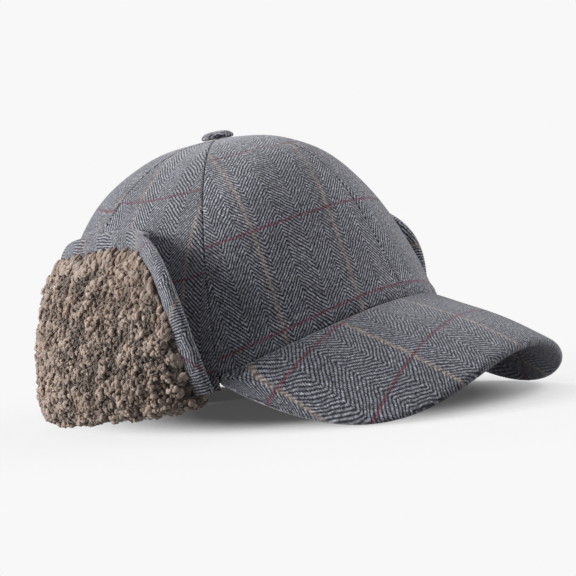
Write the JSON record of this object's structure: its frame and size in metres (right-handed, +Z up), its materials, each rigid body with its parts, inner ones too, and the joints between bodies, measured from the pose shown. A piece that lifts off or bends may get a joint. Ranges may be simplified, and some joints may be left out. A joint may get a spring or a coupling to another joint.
{
  "type": "trapper hat",
  "caption": "Soft six-panel tweed cap with an arched visor and a deep fleece-lined ear and neck flap, folded up round the crown.",
  "frame": {"origin": "on the surface that the hat stands on, at the middle of the whole hat's box in X and Y", "axes": "+Z up, -Y towards the tip of the visor, +X towards the wearer's left"},
  "size_m": [0.2134, 0.2834, 0.1417],
  "materials": {
    "tweed": "grey herringbone wool with a fine windowpane check",
    "binding_tweed": "folded tape of the same tweed",
    "fleece": "curly taupe sherpa pile",
    "lining": "smooth satin lining",
    "sweatband": "matt cotton twill band",
    "buckram": "stiff open-weave buckram",
    "visor_board": "flexible moulded board",
    "plated_steel": "plated button shell and rivet"
  },
  "bodies": {
    "hat": {"front_panel_right": "tweed", "front_panel_left": "tweed", "side_panel_right": "tweed", "side_panel_left": "tweed", "back_panel_right": "tweed", "back_panel_left": "tweed", "front_lining_right": "lining", "front_lining_left": "lining", "side_lining_right": "lining", "side_lining_left": "lining", "back_lining_right": "lining", "back_lining_left": "lining", "front_stiffener_right": "buckram", "front_stiffener_left": "buckram", "sweatband": "sweatband", "button_cover": "tweed", "button_shell": "plated_steel", "button_rivet": "plated_steel", "visor_top_cover": "tweed", "visor_board": "visor_board", "visor_under_cover": "tweed", "flap_root_right": "tweed", "flap_root_left": "tweed", "flap_fold": "fleece"},
    "flap_right_1": {"flap_facing_right_1": "tweed", "flap_fleece_right_1": "fleece", "flap_binding_right_1": "binding_tweed"},
    "flap_right_2": {"flap_facing_right_2": "tweed", "flap_fleece_right_2": "fleece", "flap_binding_right_2": "binding_tweed"},
    "flap_right_3": {"flap_facing_right_3": "tweed", "flap_fleece_right_3": "fleece", "flap_binding_right_3": "binding_tweed"},
    "flap_right_4": {"flap_facing_right_4": "tweed", "flap_fleece_right_4": "fleece", "flap_binding_right_4": "binding_tweed"},
    "flap_right_5": {"flap_facing_right_5": "tweed", "flap_fleece_right_5": "fleece", "flap_binding_right_5": "binding_tweed"},
    "flap_back": {"flap_facing_back": "tweed", "flap_fleece_back": "fleece", "flap_binding_back": "binding_tweed"},
    "flap_left_5": {"flap_facing_left_5": "tweed", "flap_fleece_left_5": "fleece", "flap_binding_left_5": "binding_tweed"},
    "flap_left_4": {"flap_facing_left_4": "tweed", "flap_fleece_left_4": "fleece", "flap_binding_left_4": "binding_tweed"},
    "flap_left_3": {"flap_facing_left_3": "tweed", "flap_fleece_left_3": "fleece", "flap_binding_left_3": "binding_tweed"},
    "flap_left_2": {"flap_facing_left_2": "tweed", "flap_fleece_left_2": "fleece", "flap_binding_left_2": "binding_tweed"},
    "flap_left_1": {"flap_facing_left_1": "tweed", "flap_fleece_left_1": "fleece", "flap_binding_left_1": "binding_tweed"}
  },
  "joints": [
    {"name": "fold_back", "type": "hinge", "parent": "hat", "child": "flap_back", "pos_m": [0, 0.12424, 0.00736], "axis": [-1, 0, 0], "range_deg": [0, 190], "deforming": ["flap_fold"]},
    {"name": "fold_right_1", "type": "hinge", "parent": "hat", "child": "flap_right_1", "pos_m": [-0.08722, 0.00166, 0.01787], "axis": [0.2027, -0.9757, 0.0836], "range_deg": [0, 190]},
    {"name": "fold_right_2", "type": "hinge", "parent": "hat", "child": "flap_right_2", "pos_m": [-0.08877, 0.03733, 0.01481], "axis": [-0.1168, -0.9895, 0.0848], "range_deg": [0, 190]},
    {"name": "fold_right_3", "type": "hinge", "parent": "hat", "child": "flap_right_3", "pos_m": [-0.07899, 0.07135, 0.01189], "axis": [-0.4299, -0.8996, 0.0771], "range_deg": [0, 190]},
    {"name": "fold_right_4", "type": "hinge", "parent": "hat", "child": "flap_right_4", "pos_m": [-0.05909, 0.09938, 0.00949], "axis": [-0.7125, -0.6991, 0.0599], "range_deg": [0, 190]},
    {"name": "fold_right_5", "type": "hinge", "parent": "hat", "child": "flap_right_5", "pos_m": [-0.03159, 0.11781, 0.00791], "axis": [-0.9211, -0.3879, 0.0333], "range_deg": [0, 190]},
    {"name": "fold_left_5", "type": "hinge", "parent": "hat", "child": "flap_left_5", "pos_m": [0.03159, 0.11781, 0.00791], "axis": [-0.9211, 0.3879, -0.0333], "range_deg": [0, 190]},
    {"name": "fold_left_4", "type": "hinge", "parent": "hat", "child": "flap_left_4", "pos_m": [0.05909, 0.09938, 0.00949], "axis": [-0.7125, 0.6991, -0.0599], "range_deg": [0, 190]},
    {"name": "fold_left_3", "type": "hinge", "parent": "hat", "child": "flap_left_3", "pos_m": [0.07899, 0.07135, 0.01189], "axis": [-0.4299, 0.8996, -0.0771], "range_deg": [0, 190]},
    {"name": "fold_left_2", "type": "hinge", "parent": "hat", "child": "flap_left_2", "pos_m": [0.08877, 0.03733, 0.01481], "axis": [-0.1168, 0.9895, -0.0848], "range_deg": [0, 190]},
    {"name": "fold_left_1", "type": "hinge", "parent": "hat", "child": "flap_left_1", "pos_m": [0.08722, 0.00166, 0.01787], "axis": [0.2027, 0.9757, -0.0836], "range_deg": [0, 190]}
  ],
  "couplings": [
    {"joint": "fold_right_1", "follows": "fold_back", "ratio": 1},
    {"joint": "fold_right_2", "follows": "fold_back", "ratio": 1},
    {"joint": "fold_right_3", "follows": "fold_back", "ratio": 1},
    {"joint": "fold_right_4", "follows": "fold_back", "ratio": 1},
    {"joint": "fold_right_5", "follows": "fold_back", "ratio": 1},
    {"joint": "fold_left_5", "follows": "fold_back", "ratio": 1},
    {"joint": "fold_left_4", "follows": "fold_back", "ratio": 1},
    {"joint": "fold_left_3", "follows": "fold_back", "ratio": 1},
    {"joint": "fold_left_2", "follows": "fold_back", "ratio": 1},
    {"joint": "fold_left_1", "follows": "fold_back", "ratio": 1}
  ]
}
